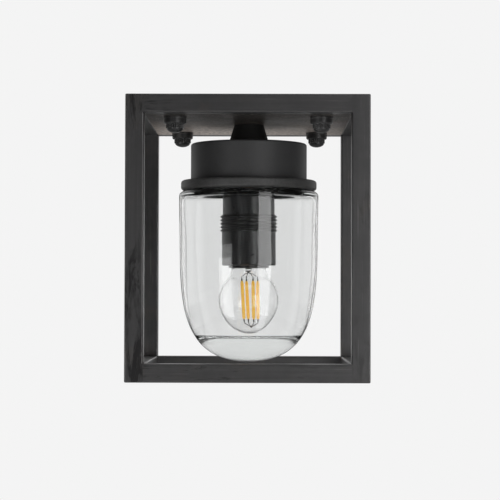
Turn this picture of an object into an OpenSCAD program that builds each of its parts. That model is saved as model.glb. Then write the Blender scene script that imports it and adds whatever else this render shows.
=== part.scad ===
// Porch ceiling lantern: an open cage of square tube round a screw-in glass jar,
// hung from a ceiling bracket by four studs and knurled cap nuts.
// Millimetres. Origin at the centre of the ceiling face, Z up, the front is towards -Y.

/* [Cage] */
// width of the cage over the tubes
cage_width = 170; // [150:1:220]
// depth of the cage over the tubes
cage_depth = 180; // [160:1:220]
// height of the cage over the tubes
cage_height = 200; // [199:1:260]
// outside size of the square tube
tube_size = 13; // [12:0.5:14]
// wall thickness of the square tube
tube_wall = 1.5; // [1:0.1:2.5]
// rounding of the tube's long edges
tube_round = 1; // [0.5:0.1:1.5]
// thickness of the top plate
plate_thickness = 2; // [1.5:0.1:3]

/* [Ceiling fixing] */
// width of the ceiling bracket
bracket_width = 122; // [116:1:122]
// depth of the ceiling bracket
bracket_depth = 130; // [127:1:132]
// thickness of the ceiling bracket
bracket_thickness = 2; // [1.5:0.1:2.5]
// diameter of the cable hole in the bracket
cable_hole_d = 44; // [40:1:50]
// distance between ceiling screw slots, both ways
slot_spacing = 76; // [70:1:80]
// width of a ceiling screw slot
slot_width = 5.5; // [4.5:0.1:6.5]
// end to end length of a ceiling screw slot
slot_length = 16; // [12:0.5:18]
// distance between the studs, left to right
stud_spacing_x = 104; // [98:1:106]
// distance between the studs, front to rear
stud_spacing_y = 117; // [110:1:118]
// diameter of a stud
stud_d = 5; // [4:0.1:6]
// length of stud below the top plate
stud_tail = 8; // [7:0.1:8.4]

/* [Cap nuts] */
// diameter of the washer under a cap nut
washer_d = 16.3; // [14:0.1:18]
// thickness of the washer
washer_thickness = 1.2; // [0.8:0.1:1.5]
// diameter of the nut's flange
nut_flange_d = 16; // [13.5:0.1:17]
// height of the nut's flange
nut_flange_h = 3.9; // [2.4:0.1:4.2]
// diameter of the knurled body over its ribs
nut_body_d = 12.8; // [11.5:0.1:13.5]
// height of the knurled body
nut_body_h = 3; // [2.4:0.1:4]
// height of the dome
nut_dome_h = 3.2; // [2.4:0.1:3.5]
// number of ribs on a nut
nut_ribs = 22; // [16:1:24]

/* [Neck and housing] */
// diameter of the neck at the plate
neck_top_d = 21.6; // [18:0.2:24]
// diameter of the neck at the housing
neck_bottom_d = 30.5; // [26:0.5:32]
// height of the neck
neck_h = 14.2; // [12:0.2:15]
// outside diameter of the housing
housing_d = 86; // [76:0.5:88]
// height of the housing
housing_h = 27.3; // [27:0.1:30]
// wall of the housing
housing_wall = 1.2; // [0.8:0.1:1.3]
// rounding of the housing's top edge
housing_round = 1.5; // [1.3:0.1:3]
// outside diameter of the glass collar
collar_d = 100.6; // [100:0.2:102]
// height of the collar's outer ring
collar_h = 7.1; // [7:0.1:9]
// rounding of the collar's edges
collar_round = 2; // [0.5:0.1:2.5]
// outside diameter of the hollow threaded nipple
nipple_d = 10; // [9.8:0.05:10.1]
// bore of the nipple
nipple_bore = 7; // [6.6:0.1:7.4]
// wall of the collar's spigot inside the housing
spigot_wall = 1.8; // [1.5:0.1:2.2]
// thickness of the collar's inner ledge
collar_ledge = 3; // [2.5:0.1:4]
// thickness of the bridge disc
bridge_thickness = 1.5; // [1.2:0.1:2]
// diameter of the bridge screws
bridge_screw_d = 2.5; // [2.4:0.1:3]

/* [Glass] */
// largest outside diameter of the glass jar
glass_d = 103.6; // [102.6:0.2:105]
// depth of the glass below the collar seal
glass_depth = 126; // [125:0.1:130]
// wall of the glass jar
glass_wall = 3.6; // [3:0.1:4]
// thickness of glass under the bulb
glass_floor = 16.9; // [14:0.1:17.5]
// rounding of the shoulder
glass_shoulder = 4; // [3:0.1:5]
// wall of the glass neck
glass_neck_wall = 3.8; // [3.4:0.1:4.2]
// height of the neck's rib
glass_rib_h = 2.2; // [1.8:0.1:2.4]
// height of the glass neck above the seal
glass_neck_h = 13.5; // [13:0.1:14]
// rise of the glass thread in one turn
glass_pitch = 5; // [4.8:0.1:5.2]
// turns of rib on the glass neck
glass_turns = 1.5; // [1:0.25:1.5]
// thickness of the seal ring
seal_thickness = 0.6; // [0.5:0.1:1.5]
// width of the seal ring
seal_width = 9.3; // [6:0.1:9.6]

/* [Lampholder] */
// diameter of the lampholder's cap
holder_cap_d = 38.3; // [38:0.1:39]
// diameter of the lampholder's skirt
skirt_d = 39.8; // [39.4:0.1:40.4]
// diameter over the ridges of the skirt
ridge_d = 42; // [41:0.1:43]
// distance between ridges
ridge_pitch = 2.54; // [2.3:0.02:2.8]
// number of ridges
ridge_count = 5; // [3:1:6]
// length of the skirt
skirt_h = 37.4; // [36.8:0.1:38]
// length of the cap below its shoulder
holder_cap_h = 19; // [18:0.5:20]
// wall of the cap and skirt
holder_wall = 2; // [1.6:0.1:2.2]
// height of the small rim round the bulb
rim_h = 1.6; // [1.2:0.1:2]
// height of the contact block in the cap
insert_h = 9; // [8:0.5:10]
// height of the contact block in the skirt
insert_foot_h = 5; // [4:0.5:5.5]

/* [Bulb] */
// rise of the bulb thread in one turn
bulb_pitch = 3.629; // [3.6:0.001:3.65]
// outside diameter over the bulb thread
bulb_thread_d = 26.2; // [26.05:0.05:26.3]
// diameter of the bulb's round part
bulb_d = 45; // [44:0.5:46]
// diameter of the bulb's glass where it leaves the lampholder
bulb_neck_d = 26; // [24:0.5:27]
// wall of the bulb's glass
bulb_wall = 0.8; // [0.6:0.1:1]
// distance from the lampholder's foot to the middle of the round part
bulb_reach = 25.4; // [25:0.1:27]
// height of the stem's flare inside the base
stem_flare_h = 5.4; // [5:0.1:5.8]
// distance of the filaments' upper ends from their middle
filament_spread = 6.5; // [5:0.1:7]
// length of a filament
filament_length = 30.3; // [26:0.1:32]
// diameter of a filament
filament_d = 1.8; // [1.4:0.1:2.2]
// filaments in the bulb
filament_count = 4; // [2:2:6]

/* [Clearances] */
// radial play of a pin or nipple in its hole
clear_hole = 0.3; // [0.2:0.05:0.4]
// radial play of a nut on its thread
clear_thread = 0.05; // [0.02:0.01:0.1]
// gap between neighbouring pieces that don't bear on each other
clear_gap = 0.3; // [0.2:0.05:0.4]

/* [Wiring] */
// thickness of a lead
lead_d = 2; // [1.6:0.1:2.2]
// height of the leads over the plate
lead_height = 5.4; // [5:0.1:5.8]
// bend radius of the leads
bend_r = 3; // [2.5:0.1:3.2]
// distance from the cable hole's edge to the middle of the terminal block
block_gap = 5; // [4:0.5:8]
// width of the terminal block
block_w = 26; // [24:1:30]
// length of the terminal block
block_l = 16; // [14:1:18]
// height of the terminal block
block_h = 8.2; // [8:0.1:8.4]
// distance between two poles of the terminal block
block_pitch = 8; // [7.5:0.1:8.5]
// distance from the earth screw to the rear edge of the plate
earth_edge = 21.5; // [14:0.5:26]
// diameter of the earth screw
earth_screw_d = 3; // [3:0.1:4]

/* [Hidden] */
$fn = 64;
eps = 0.01;
inner_w = cage_width - 2 * tube_size;
inner_d = cage_depth - 2 * tube_size;
plate_bottom = -tube_size;
plate_top = plate_bottom + plate_thickness;
neck_bottom = plate_bottom - neck_h;
housing_top = neck_bottom;
housing_bottom = housing_top - housing_h;
housing_r = housing_d / 2;
housing_inner_r = housing_r - housing_wall;
collar_bottom = housing_bottom - collar_h;
collar_r = collar_d / 2;
spigot_r = housing_inner_r - clear_gap / 2;
collar_bore_r = spigot_r - spigot_wall;
glass_rib_r = collar_bore_r - 2 * clear_gap;
glass_neck_r = glass_rib_r - glass_rib_h;
glass_bore_r = glass_neck_r - glass_neck_wall;
collar_ledge_r = glass_bore_r - 0.2;
seal_bottom = collar_bottom - seal_thickness;
glass_neck_top = seal_bottom + glass_neck_h;
spigot_top = glass_neck_top + 1.5 + collar_ledge;
bridge_top = spigot_top + bridge_thickness;
lock_nut_h = 3;
lock_nut_af = 14;
nipple_r = nipple_d / 2;
nipple_top = plate_top + 4;
holder_top = spigot_top - 6;
nipple_bottom = holder_top - 4;
holder_boss_r = nipple_r + 4;
holder_cap_r = holder_cap_d / 2;
holder_shoulder = collar_bottom + 0.6;
holder_split = holder_shoulder - holder_cap_h;
skirt_r = skirt_d / 2;
skirt_bottom = holder_split - skirt_h;
shell_inner_r = bulb_thread_d / 2 + 0.45;
shell_outer_r = shell_inner_r + 0.5;
rim_r = shell_outer_r + 0.85;
insert_r = holder_cap_r - holder_wall - 0.1;
skirt_ledge_r = insert_r - 1.05;
insert_top = holder_split + insert_h;
insert_bottom = holder_split - insert_foot_h;
terminal_x = insert_r * 0.53;
contact_hole_r = 5;
shell_bottom = skirt_bottom - rim_h + 0.4;
bulb_root_r = bulb_thread_d / 2 - 0.95;
bulb_wall_r = bulb_root_r - 0.5;
bulb_top = insert_bottom - 3;
bulb_insulator_top = bulb_top - 1.5;
bulb_shell_top = bulb_insulator_top - 2.5;
bulb_shell_bottom = skirt_bottom + 3;
bulb_r = bulb_d / 2;
bulb_centre = skirt_bottom - bulb_reach;
stem_bottom = skirt_bottom - 4.6;
filament_top = stem_bottom - 5.3;
stud_x = stud_spacing_x / 2;
stud_y = stud_spacing_y / 2;
washer_top = plate_bottom;
nut_top = washer_top - washer_thickness;
nut_body_top = nut_top - nut_flange_h;
nut_dome_top = nut_body_top - nut_body_h;
lead_x = 0.75 * lead_d;
lead_z = plate_top + lead_height;
block_y = cable_hole_d / 2 + block_gap;
lead_turn_y = block_y - 0.75 * block_l;
lead_run = 2.5 * lead_d;
pole_r = lead_d / 2 + 0.3;
screw_row = block_l / 4;
earth_y = inner_d / 2 - earth_edge;
earth_boss_r = earth_screw_d * 5 / 3;
earth_boss_h = lead_z - lead_d / 2 - plate_top;

// one corner of a rounded outline, as points on an arc
function arc(cx, cy, r, a0, a1, n) =
  [for (i = [0 : n]) [cx + r * cos(a0 + (a1 - a0) * i / n), cy + r * sin(a0 + (a1 - a0) * i / n)]];

// rounded rectangle, centred
function round_box(w, h, r) = concat(
  arc(w / 2 - r, h / 2 - r, r, 0, 90, 3),
  arc(-w / 2 + r, h / 2 - r, r, 90, 180, 3),
  arc(-w / 2 + r, -h / 2 + r, r, 180, 270, 3),
  arc(w / 2 - r, -h / 2 + r, r, 270, 360, 3));

// a corner post: its edges are rounded between the rails and square where the ground welds are,
// and end plates close it at the ceiling and at the foot
module post(sx, sy) {
  px = sx * (cage_width - tube_size) / 2;
  py = sy * (cage_depth - tube_size) / 2;
  color("#3e3e40")
  difference() {
    union() {
      translate([px, py, tube_size - cage_height])
        linear_extrude(cage_height - 2 * tube_size) polygon(round_box(tube_size, tube_size, tube_round));
      for (z = [-tube_size, -cage_height])
        intersection() {
          translate([px - tube_size / 2, py - tube_size / 2, z]) cube([tube_size, tube_size, tube_size]);
          translate([0, 0, -cage_height])
            linear_extrude(cage_height) polygon(round_box(cage_width, cage_depth, tube_round));
          translate([0, cage_depth / 2, -cage_height / 2]) rotate([90, 0, 0])
            linear_extrude(cage_depth) polygon(round_box(cage_width, cage_height, tube_round));
          translate([-cage_width / 2, 0, -cage_height / 2]) rotate([90, 0, 90])
            linear_extrude(cage_width) polygon(round_box(cage_depth, cage_height, tube_round));
        }
    }
    translate([px - tube_size / 2 + tube_wall, py - tube_size / 2 + tube_wall, tube_wall - cage_height])
      cube([tube_size - 2 * tube_wall, tube_size - 2 * tube_wall, cage_height - 2 * tube_wall]);
  }
}

// a rail between two posts, centred at the given place and turned about Z
module rail(x, y, z, turn, length) {
  color("#3e3e40")
  translate([x, y, z])
  rotate([0, 0, turn])
  rotate([0, 90, 0])
  translate([0, 0, -length / 2])
  difference() {
    linear_extrude(length) polygon(round_box(tube_size, tube_size, tube_round));
    translate([-tube_size / 2 + tube_wall, -tube_size / 2 + tube_wall, -1])
      cube([tube_size - 2 * tube_wall, tube_size - 2 * tube_wall, length + 2]);
  }
}

top_z = -tube_size / 2;
bottom_z = -cage_height + tube_size / 2;
rail_y = (cage_depth - tube_size) / 2;
rail_x = (cage_width - tube_size) / 2;

// at each of the four stud places
module at_studs(z) {
  for (sx = [-1, 1])
    for (sy = [-1, 1])
      translate([sx * stud_x, sy * stud_y, z]) children();
}

// plate welded between the top rails, with the four stud holes and the nipple hole
module top_plate() {
  color("#8a8178")
  difference() {
    translate([-inner_w / 2, -inner_d / 2, plate_bottom]) cube([inner_w, inner_d, plate_thickness]);
    at_studs(plate_bottom - 1) cylinder(h = plate_thickness + 2, r = stud_d / 2 + clear_hole);
    translate([0, 0, plate_bottom - 1]) cylinder(h = plate_thickness + 2, r = nipple_r + clear_hole);
  }
  color("#8a8178")
  translate([0, earth_y, plate_top])
  difference() {
    cylinder(h = earth_boss_h, r = earth_boss_r);
    translate([0, 0, earth_boss_h / 4]) cylinder(h = earth_boss_h, d = earth_screw_d + 0.1, $fn = 32);
  }
}

// a round-ended slot along X
module slot(length, width, h) {
  translate([-(length - width) / 2, 0, 0]) cylinder(h = h, d = width);
  translate([(length - width) / 2, 0, 0]) cylinder(h = h, d = width);
  translate([-(length - width) / 2, -width / 2, 0]) cube([length - width, width, h]);
}

// plate that is screwed to the ceiling
module ceiling_bracket() {
  color("#b8b8b4")
  difference() {
    translate([-bracket_width / 2, -bracket_depth / 2, -bracket_thickness])
      cube([bracket_width, bracket_depth, bracket_thickness]);
    translate([0, 0, -bracket_thickness - 1])
      cylinder(h = bracket_thickness + 2, d = cable_hole_d);
    for (sx = [-1, 1])
      for (sy = [-1, 1])
        translate([sx * slot_spacing / 2, sy * slot_spacing / 2, -bracket_thickness - 1])
          slot(slot_length, slot_width, bracket_thickness + 2);
  }
}

// studs welded under the bracket, each with a weld foot
module ceiling_studs() {
  color("#b0aea8")
  at_studs(plate_bottom - stud_tail) {
    cylinder(h = -bracket_thickness - plate_bottom + stud_tail, d = stud_d);
    translate([0, 0, -bracket_thickness - plate_bottom + stud_tail - 1])
      cylinder(h = 1, d = stud_d + 2.4);
  }
}

module nut_washers() {
  color("#242424")
  at_studs(washer_top - washer_thickness)
    difference() {
      cylinder(h = washer_thickness, d = washer_d);
      translate([0, 0, -1]) cylinder(h = washer_thickness + 2, r = stud_d / 2 + clear_hole);
    }
}

// ribbed outline of a knurled nut
function rib_outline(r, depth, n) =
  [for (i = [0 : 4 * n - 1])
    let (a = 360 * (i + 0.5) / (4 * n), k = i % 4)
    [(k < 2 ? r : r - depth) * cos(a), (k < 2 ? r : r - depth) * sin(a)]];

// closed cap nut with a flange, a ribbed grip and a domed end
module cap_nut() {
  difference() {
    union() {
      translate([0, 0, -nut_flange_h])
        rotate_extrude($fn = 64)
          polygon([[0, 0], [0, nut_flange_h], [nut_flange_d / 2, nut_flange_h],
                   [nut_flange_d / 2, 0.7], [nut_flange_d / 2 - 0.7, 0]]);
      translate([0, 0, -nut_flange_h - nut_body_h])
        linear_extrude(nut_body_h + 0.5) polygon(rib_outline(nut_body_d / 2, 0.7, nut_ribs));
      translate([0, 0, -nut_flange_h - nut_body_h])
        rotate_extrude($fn = 64)
          polygon(concat([[0, 0.4], [nut_body_d / 2 - 0.5, 0.4]],
            [for (i = [0 : 6]) [(nut_body_d / 2 - 0.5) * cos(13 * i), -nut_dome_h * sin(13 * i)]],
            [[0, -nut_dome_h]]));
    }
    translate([0, 0, -stud_tail + washer_thickness - 0.4])
      cylinder(h = stud_tail, r = stud_d / 2 + clear_thread);
  }
}

module cap_nuts() {
  color("#202020")
  at_studs(nut_top) cap_nut();
}

// conical spacer between plate and housing
module neck() {
  color("#2c2c2e")
  translate([0, 0, neck_bottom])
  difference() {
    cylinder(h = neck_h, r1 = neck_bottom_d / 2, r2 = neck_top_d / 2);
    translate([0, 0, -1]) cylinder(h = neck_h + 2, r = nipple_r + clear_hole);
  }
}

// hollow threaded tube that clamps the stack and carries the lampholder
module nipple() {
  color("#c0a860")
  translate([0, 0, nipple_bottom])
  difference() {
    cylinder(h = nipple_top - nipple_bottom, r = nipple_r);
    translate([0, 0, -1]) cylinder(h = nipple_top - nipple_bottom + 2, d = nipple_bore);
  }
}

module hex_nut() {
  difference() {
    cylinder(h = lock_nut_h, d = lock_nut_af / cos(30), $fn = 6);
    translate([0, 0, -1]) cylinder(h = lock_nut_h + 2, r = nipple_r + clear_thread);
  }
}

// one nut above the plate, one under the housing top and one under the bridge disc
module lock_nuts() {
  color("#b89850") {
    translate([0, 0, plate_top]) hex_nut();
    translate([0, 0, housing_top - housing_wall - lock_nut_h]) hex_nut();
    translate([0, 0, spigot_top - lock_nut_h]) hex_nut();
  }
}

// round sheet housing, open below
module housing() {
  color("#333335")
  translate([0, 0, housing_bottom])
  rotate_extrude($fn = 128)
  polygon(concat(
    [[housing_inner_r, 0], [housing_r, 0]],
    arc(housing_r - housing_round, housing_h - housing_round, housing_round, 0, 90, 5),
    [[nipple_r + clear_hole, housing_h], [nipple_r + clear_hole, housing_h - housing_wall]],
    arc(housing_inner_r - 0.8, housing_h - housing_wall - 0.8, 0.8, 90, 0, 3)));
}

// stepped helical rib: short ring pieces that climb with the turn
module helix(r_in, r_out, z0, pitch, a0, a1, step, base_w, tip_w) {
  for (a = [a0 : step : a1 - step / 2])
    translate([0, 0, z0 + pitch * (a + step / 2) / 360])
      rotate([0, 0, a])
        rotate_extrude(angle = step + 0.2, $fn = 96)
          polygon([[r_in, -base_w / 2], [r_out, -tip_w / 2], [r_out, tip_w / 2], [r_in, base_w / 2]]);
}

rib_start_z = seal_bottom + 3.9;
rib_base_w = 2.4;
rib_tip_w = 1.4;
lug_w = 1.4;

// cast collar: outer ring, spigot that centres the housing, ledge, and three lugs for the glass
module glass_collar() {
  color("#2e2e2e")
  difference() {
    union() {
      rotate_extrude($fn = 128)
        polygon(concat(
          arc(collar_r - collar_round, collar_bottom + collar_round, collar_round, -90, 0, 5),
          arc(collar_r - collar_round, housing_bottom - collar_round, collar_round, 0, 90, 5),
          [[spigot_r, housing_bottom], [spigot_r, spigot_top], [collar_ledge_r, spigot_top],
           [collar_ledge_r, spigot_top - collar_ledge], [collar_bore_r, spigot_top - collar_ledge],
           [collar_bore_r, collar_bottom]]));
      for (a = [20, 140, 260])
        helix(glass_neck_r + clear_gap, collar_bore_r + 0.4,
          rib_start_z - rib_tip_w / 2 - lug_w / 2 - 0.55, glass_pitch, a, a + 30, 15, lug_w - 0.3, lug_w);
    }
    for (a = [80, 200, 320])
      rotate([0, 0, a])
        translate([screw_pos_r, 0, spigot_top - collar_ledge + 0.6]) cylinder(h = collar_ledge, d = bridge_screw_d + 0.1, $fn = 32);
  }
}
screw_pos_r = (collar_ledge_r + spigot_r) / 2;
bridge_hole_x = spigot_r * 0.58;

// steel disc that ties the collar to the nipple
module bridge_disc() {
  color("#a8a8a4")
  translate([0, 0, spigot_top])
  difference() {
    cylinder(h = bridge_thickness, r = spigot_r - 0.2, $fn = 128);
    translate([0, 0, -1]) cylinder(h = bridge_thickness + 2, r = nipple_r + clear_hole);
    for (a = [80, 200, 320])
      rotate([0, 0, a]) translate([screw_pos_r, 0, -1]) cylinder(h = bridge_thickness + 2, d = bridge_screw_d + 0.7, $fn = 32);
    for (a = [20, 140, 260])
      rotate([0, 0, a]) translate([bridge_hole_x, 0, -1]) cylinder(h = bridge_thickness + 2, r = nipple_r, $fn = 48);
  }
}

module bridge_screws() {
  color("#c8c8c8")
  for (a = [80, 200, 320])
    rotate([0, 0, a])
      translate([screw_pos_r, 0, bridge_top]) {
        difference() {
          cylinder(h = 1.6, r = 1.04 * bridge_screw_d, $fn = 32);
          translate([-1.2 * bridge_screw_d, -0.35, 0.9]) cube([2.4 * bridge_screw_d, 0.7, 1]);
        }
        translate([0, 0, -bridge_thickness - 2]) cylinder(h = bridge_thickness + 2.2, d = bridge_screw_d, $fn = 32);
      }
}

// rubber ring on the glass shoulder
module glass_seal() {
  color("#3a3a3a")
  translate([0, 0, seal_bottom])
  difference() {
    cylinder(h = seal_thickness, r = glass_neck_r + seal_width, $fn = 128);
    translate([0, 0, -1]) cylinder(h = seal_thickness + 2, r = glass_neck_r + 0.2, $fn = 128);
  }
}

// the jar's outline: slightly tapered sides that run into a round bottom
glass_r = glass_d / 2;
glass_inner_r = glass_r - glass_wall;
g0 = seal_bottom;
glass_foot = g0 - glass_depth;
inner_depth = glass_depth - glass_floor;
function jar_r(t) = glass_r * (1 - 0.024 * t) * pow(1 - pow(t, 5.44), 1 / 2.29);
function jar_inner_r(t) = glass_inner_r * (1 - 0.14 * pow(t, 3)) * pow(1 - pow(t, 30), 0.5);
jar_steps = 26;
glass_outer = concat(
  arc(glass_r - glass_shoulder, g0 - glass_shoulder, glass_shoulder, 90, 0, 6),
  [for (i = [1 : jar_steps])
    let (t = 1 - (1 - glass_shoulder / glass_depth) * pow(1 - i / jar_steps, 2))
    [jar_r(t), g0 - t * glass_depth]]);
glass_inner = concat(
  [for (i = [jar_steps : -1 : 0])
    let (t = 1 - 0.9 * pow(1 - i / jar_steps, 2.4))
    [jar_inner_r(t), g0 - t * inner_depth]],
  [[glass_inner_r - 1.2, g0 - 6.6], [glass_inner_r - 4.4, g0 - 4.4],
   [glass_neck_r - 0.5, g0 - 3.4], [glass_bore_r + 0.9, g0 - 1.9], [glass_bore_r, g0 + 0.6]]);

// clear jar with a threaded neck, a rounded shoulder and a thick bottom
module glass_jar() {
  color("#cfe0e4", 0.35)
  union() {
    rotate_extrude($fn = 128)
      polygon(concat(
        [[glass_bore_r, glass_neck_top - 0.8], [glass_bore_r + 0.8, glass_neck_top],
         [glass_neck_r - 0.8, glass_neck_top], [glass_neck_r, glass_neck_top - 0.8],
         [glass_neck_r, g0]],
        glass_outer, glass_inner));
    helix(glass_neck_r - 0.6, glass_rib_r, rib_start_z, glass_pitch,
      0, glass_turns * 360, 15, rib_base_w, rib_tip_w);
  }
}

// smooth upper part of the lampholder
module holder_cap() {
  color("#1d1d1e")
  difference() {
    rotate_extrude($fn = 96)
      polygon(concat(
        [[0, holder_top], [holder_boss_r, holder_top], [holder_boss_r, holder_shoulder + 0.5]],
        arc(holder_cap_r - 5, holder_shoulder - 5, 5, 85, 0, 6),
        [[holder_cap_r, holder_split], [0, holder_split]]));
    translate([0, 0, nipple_bottom - 0.5]) cylinder(h = 20, r = nipple_r + clear_thread);
    translate([0, 0, nipple_bottom - 20]) cylinder(h = 20, d = nipple_bore);
    translate([0, 0, holder_split - 1])
      cylinder(h = holder_shoulder - holder_split - holder_wall, r = holder_cap_r - holder_wall, $fn = 96);
  }
}

// lower part of the lampholder: ridges above, plain skirt, small rim round the bulb
module holder_skirt() {
  color("#1d1d1e")
  rotate_extrude($fn = 96)
  polygon(concat(
    [[skirt_ledge_r, holder_split], [skirt_r, holder_split]],
    [for (i = [0 : ridge_count - 1])
      for (p = [[skirt_r, 0.35], [ridge_d / 2 - 0.25, 0.75], [ridge_d / 2, 1.1],
                [ridge_d / 2, 1.45], [ridge_d / 2 - 0.25, 1.8], [skirt_r, 2.2]])
        [p[0], holder_split - i * ridge_pitch - p[1] * ridge_pitch / 2.54]],
    arc(skirt_r - 1, skirt_bottom + 1, 1, 0, -90, 4),
    [[rim_r, skirt_bottom], [rim_r, skirt_bottom - rim_h],
     [shell_outer_r + 0.05, skirt_bottom - rim_h], [shell_outer_r + 0.05, skirt_bottom + holder_wall],
     [skirt_r - holder_wall, skirt_bottom + holder_wall], [skirt_r - holder_wall, holder_split - holder_wall],
     [skirt_ledge_r, holder_split - holder_wall]]));
}

// ceramic block that carries the contacts
module holder_insert() {
  color("#dcd8cc")
  difference() {
    union() {
      translate([0, 0, holder_split]) cylinder(h = insert_top - holder_split, r = insert_r);
      translate([0, 0, insert_bottom]) cylinder(h = holder_split - insert_bottom + eps, r = shell_outer_r);
    }
    for (sx = [-1, 1])
      translate([sx * terminal_x, 0, insert_top - 4]) cylinder(h = 5, r = 1.55, $fn = 32);
    translate([0, 0, insert_bottom - 1]) cylinder(h = 3.5, r = contact_hole_r);
  }
}

// threaded metal shell that takes the bulb
module holder_shell() {
  color("#c8a24a")
  union() {
    difference() {
      translate([0, 0, shell_bottom]) cylinder(h = insert_bottom - shell_bottom, r = shell_outer_r, $fn = 96);
      translate([0, 0, shell_bottom - 1])
        cylinder(h = insert_bottom - shell_bottom + 0.6, r = shell_inner_r, $fn = 96);
      translate([0, 0, shell_bottom]) cylinder(h = insert_bottom - shell_bottom + 1, r = contact_hole_r + 0.5);
    }
    helix(bulb_root_r + 0.32, shell_inner_r + 0.2, shell_thread_z, bulb_pitch,
      0, 360 * shell_turns, 30, 1.5, 0.7);
  }
}
shell_turns = 4;
bulb_turns = 4.5;
shell_thread_z = shell_bottom + 5;
bulb_thread_z = shell_thread_z + bulb_pitch / 2 - bulb_pitch;

// sprung tongue that bears on the bulb's tip
module centre_contact() {
  color("#c8a24a")
  union() {
    translate([-2, -2, bulb_top]) cube([4, 4, 0.5]);
    translate([-2, 1.5, bulb_top]) cube([4, 0.5, insert_bottom + 2.5 - bulb_top]);
  }
}

// strip that joins a terminal to the threaded shell
module side_contact() {
  color("#c8a24a")
  translate([shell_outer_r + 0.0, -2, insert_bottom - 3]) cube([0.5, 4, holder_split - insert_bottom + 2.7]);
}

module terminal_screws() {
  color("#c8c8c8")
  for (sx = [-1, 1])
    translate([sx * terminal_x, 0, insert_top]) {
      difference() {
        cylinder(h = 1.8, r = 2.8, $fn = 32);
        translate([-3, -0.35, 1.1]) cube([6, 0.7, 1]);
      }
      translate([0, 0, -3.5]) cylinder(h = 3.6, r = 1.5, $fn = 32);
    }
}

module bulb_tip() {
  color("#d0d0d0")
  translate([0, 0, bulb_insulator_top])
    rotate_extrude($fn = 48)
      polygon([[0, 0], [4.8, 0], [4.4, 0.8], [3.2, bulb_top - bulb_insulator_top],
               [0, bulb_top - bulb_insulator_top]]);
}

module bulb_insulator() {
  color("#1a1a1a")
  translate([0, 0, bulb_shell_top])
    cylinder(h = bulb_insulator_top - bulb_shell_top, r1 = bulb_root_r - 1, r2 = 5);
}

// threaded metal shell of the bulb
module bulb_base() {
  color("#c8c8cc")
  union() {
    difference() {
      translate([0, 0, bulb_shell_bottom])
        cylinder(h = bulb_shell_top - bulb_shell_bottom, r = bulb_root_r, $fn = 96);
      translate([0, 0, bulb_shell_bottom - 1])
        cylinder(h = bulb_shell_top - bulb_shell_bottom + 0.5, r = bulb_wall_r, $fn = 96);
    }
    helix(bulb_root_r - 0.3, bulb_thread_d / 2, bulb_thread_z, bulb_pitch,
      180, 180 + 360 * bulb_turns, 30, 1.5, 0.7);
  }
}

// outline of the bulb's glass at a given inset
function bulb_line(t) = concat(
  [[bulb_wall_r - t, bulb_shell_bottom + 6], [bulb_wall_r - t, bulb_shell_bottom - 0.3],
   [bulb_neck_d / 2 - t, skirt_bottom - rim_h - 1.2]],
  [for (a = [50 : -10 : -80]) [(bulb_r - t) * cos(a), bulb_centre + (bulb_r - t) * sin(a)]],
  [[0, bulb_centre - bulb_r + t]]);

// round glass envelope
module bulb_envelope() {
  color("#e8eef0", 0.35)
  rotate_extrude($fn = 96)
  polygon(concat(bulb_line(0), [for (i = [len(bulb_line(0)) - 1 : -1 : 0]) bulb_line(bulb_wall)[i]]));
}

// glass stem that carries the wires
module bulb_stem() {
  color("#dfe8ea", 0.5)
  rotate_extrude($fn = 48)
  polygon([[0, bulb_shell_bottom + stem_flare_h], [bulb_wall_r - bulb_wall, bulb_shell_bottom + stem_flare_h],
           [bulb_wall_r - bulb_wall, bulb_shell_bottom + 4.4], [5, bulb_shell_bottom + 0.5],
           [3, skirt_bottom - 1], [2.4, stem_bottom + 0.8], [1.6, stem_bottom], [0, stem_bottom]]);
}

// where filament i starts and ends
function fil_top(i) =
  [1 + filament_spread * cos(23 + 360 * i / filament_count),
   filament_spread * sin(23 + 360 * i / filament_count), filament_top];
function fil_end(i) =
  [2 + (filament_spread - 1.1) * cos(21 + 360 * i / filament_count),
   (filament_spread - 1.1) * sin(21 + 360 * i / filament_count),
   filament_top - filament_length];

// a round bar from one point to another
module bar(a, b, d) {
  v = b - a;
  l = norm(v);
  translate(a)
    rotate([0, acos(v[2] / l), atan2(v[1], v[0])])
      cylinder(h = l, d = d, $fn = 20);
}

module filaments() {
  color("#e0a040")
  for (i = [0 : filament_count - 1]) bar(fil_top(i), fil_end(i), filament_d);
}

// wires from the stem to the filaments, and the wires that join their lower ends
module support_wires() {
  color("#5a5650")
  union() {
    for (i = [0 : filament_count - 1]) {
      bar([0, 0, stem_bottom - 0.4], fil_top(i) + [0, 0, 0.3], 0.5);
      bar(fil_end(i) - [0, 0, 0.3], [2, 0, filament_top - filament_length - 3.6], 0.5);
    }
    translate([2, 0, filament_top - filament_length - 3.6]) sphere(d = 1, $fn = 20);
    translate([0, 0, stem_bottom - 0.8]) cylinder(h = 0.8, r = 1, $fn = 24);
  }
}

// three-way terminal block on the top plate
module terminal_block() {
  color("#e6e2d8")
  difference() {
    translate([-block_w / 2, block_y - block_l / 2, plate_top]) cube([block_w, block_l, block_h]);
    for (i = [-1 : 1]) {
      translate([i * block_pitch, block_y - block_l / 2 - 1, lead_z]) rotate([-90, 0, 0])
        cylinder(h = block_l + 2, r = pole_r, $fn = 32);
      for (k = [-1, 1])
        translate([i * block_pitch, block_y + k * screw_row, lead_z])
          cylinder(h = block_h, r = pole_r, $fn = 32);
    }
  }
}

module block_screws() {
  color("#c8c8c8")
  for (i = [-1 : 1])
    for (k = [-1, 1])
      translate([i * block_pitch, block_y + k * screw_row, lead_z + lead_d / 2 + 0.1])
        difference() {
          cylinder(h = 1.5, r = pole_r - 0.05, $fn = 32);
          translate([-2 * pole_r, -0.25, 0.9]) cube([4 * pole_r, 0.5, 1]);
        }
}

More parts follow.
